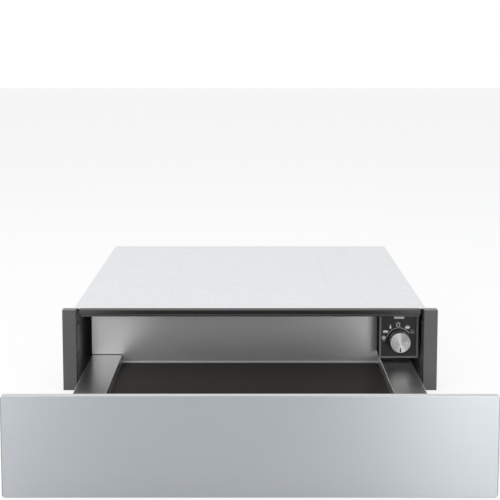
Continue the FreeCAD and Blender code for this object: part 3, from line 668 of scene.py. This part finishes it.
SIDE_SHEET = 1.2
CAP_PROFILE = [(3.7, 0), (3.7, 0.5), (3.3, 1.0), (2.2, 1.3), (1.0, 1.4)]
CAP_STEPS = 28
CAP_LEVELS = (48, 98)
CAP_SETBACK = 26
RIVET_PROFILE = [(2.6, 0), (2.6, 0.25), (2.3, 0.75), (1.6, 1.15), (0.9, 1.3)]
RIVET_STEPS = 20
SIDE_RIVET_LEVELS = (7, 122)
SIDE_RIVET_SETBACKS = (70, 200, 330, 460)
REAR_RIVET_LEVELS = (8, 120)
REAR_RIVET_PLACES = (-262, -90, 90, 262)


def rivet(name, place, facing):
    """A plated rivet head on the carcass's outside."""
    finish = SLOT_FINISH["runner_zinc"]
    turned_piece(name, RIVET_PROFILE, place, facing, finish, RIVET_STEPS)


def make_fixings():
    """Caps over the fixing holes inside, and the rivets of the carcass outside."""
    for hand, sign in (("left", -1), ("right", 1)):
        low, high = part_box(f"{hand}_side_panel")
        outer = max(abs(low.x), abs(high.x)) / MM
        for index, level in enumerate(CAP_LEVELS):
            place = (sign * (outer - SIDE_SHEET), CAP_SETBACK, level)
            turned_piece(
                f"{hand}_fixing_cap_{index}", CAP_PROFILE, place, (-sign, 0, 0),
                OWN_FINISH["control_bezel"], CAP_STEPS,
            )
        for row, level in enumerate(SIDE_RIVET_LEVELS):
            for index, setback in enumerate(SIDE_RIVET_SETBACKS):
                rivet(f"{hand}_rivet_{row}{index}", (sign * outer, setback, level), (sign, 0, 0))
    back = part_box("rear_panel")[1].y / MM
    for index, across in enumerate(REAR_RIVET_PLACES):
        for row, level in enumerate(REAR_RIVET_LEVELS):
            rivet(f"rear_rivet_{row}{index}", (across, back, level), (0, 1, 0))


# --- stage -----------------------------------------------------------------------------------

CAMERA = {"focal": 1050.0, "back": -1628.6, "height": 541.1, "pitch": 5.643, "shift": -0.2}
FRAME_PIXELS = 500
SENSOR_WIDTH = 36
VIEW_DEPTH = 50
SOFT_LIGHT = 0.66
SOFT_COLOR = (0.95, 0.97, 1.0, 1)
FLOOR_GLOW = {"direct": 0.76, "mirrored": 0.30}
FLOOR_HALF = 12.0
FLOOR_LEVEL = -0.0006


def make_camera():
    data = bpy.data.cameras.new("camera")
    data.sensor_width = SENSOR_WIDTH
    data.lens = CAMERA["focal"] / FRAME_PIXELS * data.sensor_width
    data.shift_y = CAMERA["shift"]
    data.clip_end = VIEW_DEPTH
    camera = bpy.data.objects.new("camera", data)
    camera.location = (0, CAMERA["back"] * MM, CAMERA["height"] * MM)
    camera.rotation_euler = (math.radians(90 - CAMERA["pitch"]), 0, 0)
    bpy.context.scene.collection.objects.link(camera)
    bpy.context.scene.camera = camera


def seen_rays(shading, direct=1.0, mirrored=1.0):
    """How far each ray sees the white backdrop: the camera's own, and those off metal and glass."""
    rays = shading.node("ShaderNodeLightPath")
    seen = rays.out("Is Camera Ray") * direct
    for name in ("Is Glossy Ray", "Is Transmission Ray"):
        seen = shading.maths("MAXIMUM", seen, rays.out(name) * mirrored)
    return seen


def make_world():
    world = bpy.data.worlds.new("studio")
    bpy.context.scene.world = world
    world.use_nodes = True
    world.node_tree.nodes.clear()
    sky = Shading(world.node_tree)
    soft = sky.node("ShaderNodeBackground", None, {"Color": SOFT_COLOR, "Strength": SOFT_LIGHT})
    white = sky.node("ShaderNodeBackground", None, {"Color": (1, 1, 1, 1), "Strength": 1.0})
    mix = sky.node("ShaderNodeMixShader", None, {0: seen_rays(sky), 1: soft, 2: white})
    sky.node("ShaderNodeOutputWorld", None, {"Surface": mix})


def make_floor():
    mesh = bpy.data.meshes.new("floor")
    turns = ((-1, -1), (1, -1), (1, 1), (-1, 1))
    corners = [(FLOOR_HALF * across, FLOOR_HALF * back, 0) for across, back in turns]
    mesh.from_pydata(corners, [], [(0, 1, 2, 3)])
    floor = bpy.data.objects.new("floor", mesh)
    floor.location.z = FLOOR_LEVEL
    bpy.context.scene.collection.objects.link(floor)
    finish = Finish("studio_floor", (0.97, 0.97, 0.97), 0.9)
    finish.set("Base Color", finish.shaded(finish.noise(3), 0.005))
    lit = Field(finish, finish.shader.outputs["BSDF"])
    white = finish.node("ShaderNodeEmission", None, {"Strength": 1.0})
    seen = seen_rays(finish, **FLOOR_GLOW)
    mix = finish.node("ShaderNodeMixShader", None, {0: seen, 1: lit, 2: white})
    finish.tree.links.new(mix.socket, finish.tree.nodes["Material Output"].inputs["Surface"])
    floor.data.materials.append(finish.material)


def make_lamp(name, power, size, place, target, mirrored=True):
    """A rectangular lamp that faces a target, and that shiny pieces mirror or don't."""
    data = bpy.data.lights.new(name, "AREA")
    data.energy = power
    data.shape = "RECTANGLE"
    data.size, data.size_y = size
    lamp = bpy.data.objects.new(name, data)
    lamp.location = place
    lamp.rotation_euler = (Vector(target) - Vector(place)).to_track_quat("-Z", "Y").to_euler()
    lamp.visible_camera = False
    lamp.visible_glossy = mirrored
    bpy.context.scene.collection.objects.link(lamp)


def make_stage():
    make_camera()
    make_world()
    make_floor()
    make_lamp(
        "right_softbox", power=8.0, size=(0.7, 0.5), place=(0.78, -2.0, 0.22),
        target=(0.3, -0.4, 0.06),
    )
    make_lamp(
        "left_softbox", power=5.5, size=(0.4, 0.6), place=(-0.85, -1.75, 0.62),
        target=(-0.2, 0.0, 0.06),
    )
    make_lamp(
        "overhead_panel", power=30, size=(3.2, 3.0), place=(-0.2, -0.3, 2.3),
        target=(0, -0.1, 0), mirrored=False,
    )
    bpy.context.scene.view_settings.view_transform = "Standard"


dress_nodes()
make_prints()
make_fixings()
make_stage()
